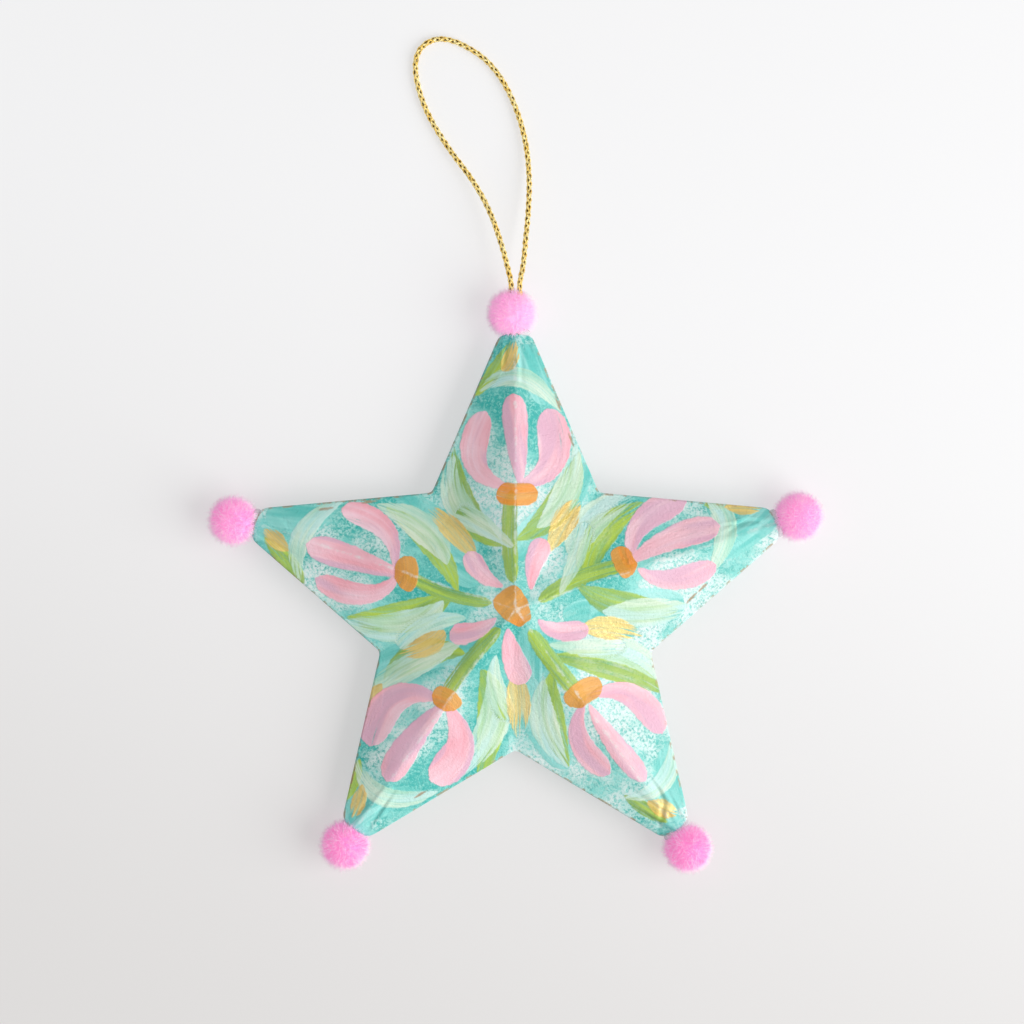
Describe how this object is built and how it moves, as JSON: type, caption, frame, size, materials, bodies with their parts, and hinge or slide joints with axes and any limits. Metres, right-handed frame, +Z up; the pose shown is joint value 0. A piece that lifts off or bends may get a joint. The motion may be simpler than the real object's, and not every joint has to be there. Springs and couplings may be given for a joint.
{
  "type": "hanging star ornament",
  "caption": "Hollow faceted paper star ornament, painted turquoise, with fuzzy pink pom-poms glued to its blunt tips and a gold cord loop to hang it by.",
  "frame": {"origin": "middle of the flat star on the back, on the surface that the ornament lies on", "axes": "+Z up out of the painted face, +Y along the top point towards the hanging loop, +X to the right"},
  "size_m": [0.123, 0.1684, 0.0147],
  "materials": {
    "painted_paper": "pressed paper with satin hand-painted acrylic",
    "seam_glue": "dried glue line stained by brown paper",
    "pile": "fuzzy synthetic pile",
    "binding_thread": "twisted thread",
    "hot_glue": "clear hot-melt glue",
    "gold_cord": "metallic gold twisted cord with dark flecks"
  },
  "bodies": {
    "star": {"front_shell": "painted_paper", "back_shell": "painted_paper", "seam_glue": "seam_glue", "pom_pile_top": "pile", "pom_pile_left": "pile", "pom_pile_lower_left": "pile", "pom_pile_lower_right": "pile", "pom_pile_right": "pile", "pom_binding_top": "binding_thread", "pom_binding_left": "binding_thread", "pom_binding_lower_left": "binding_thread", "pom_binding_lower_right": "binding_thread", "pom_binding_right": "binding_thread", "glue_bead_top": "hot_glue", "glue_bead_left": "hot_glue", "glue_bead_lower_left": "hot_glue", "glue_bead_lower_right": "hot_glue", "glue_bead_right": "hot_glue", "cord_tails": "gold_cord", "cord_knot": "gold_cord", "cord_cut_ends": "gold_cord"},
    "neck": {"cord_neck": "gold_cord"},
    "loop": {"cord_loop": "gold_cord"}
  },
  "joints": [
    {"name": "loop_sway", "type": "hinge", "parent": "star", "child": "neck", "pos_m": [0, 0.0649, 0.00555], "axis": [0, 0, 1], "range_deg": [-45, 45]},
    {"name": "loop_flap", "type": "hinge", "parent": "neck", "child": "loop", "pos_m": [0, 0.0683, 0.00555], "axis": [1, 0, 0], "range_deg": [0, 100]}
  ]
}
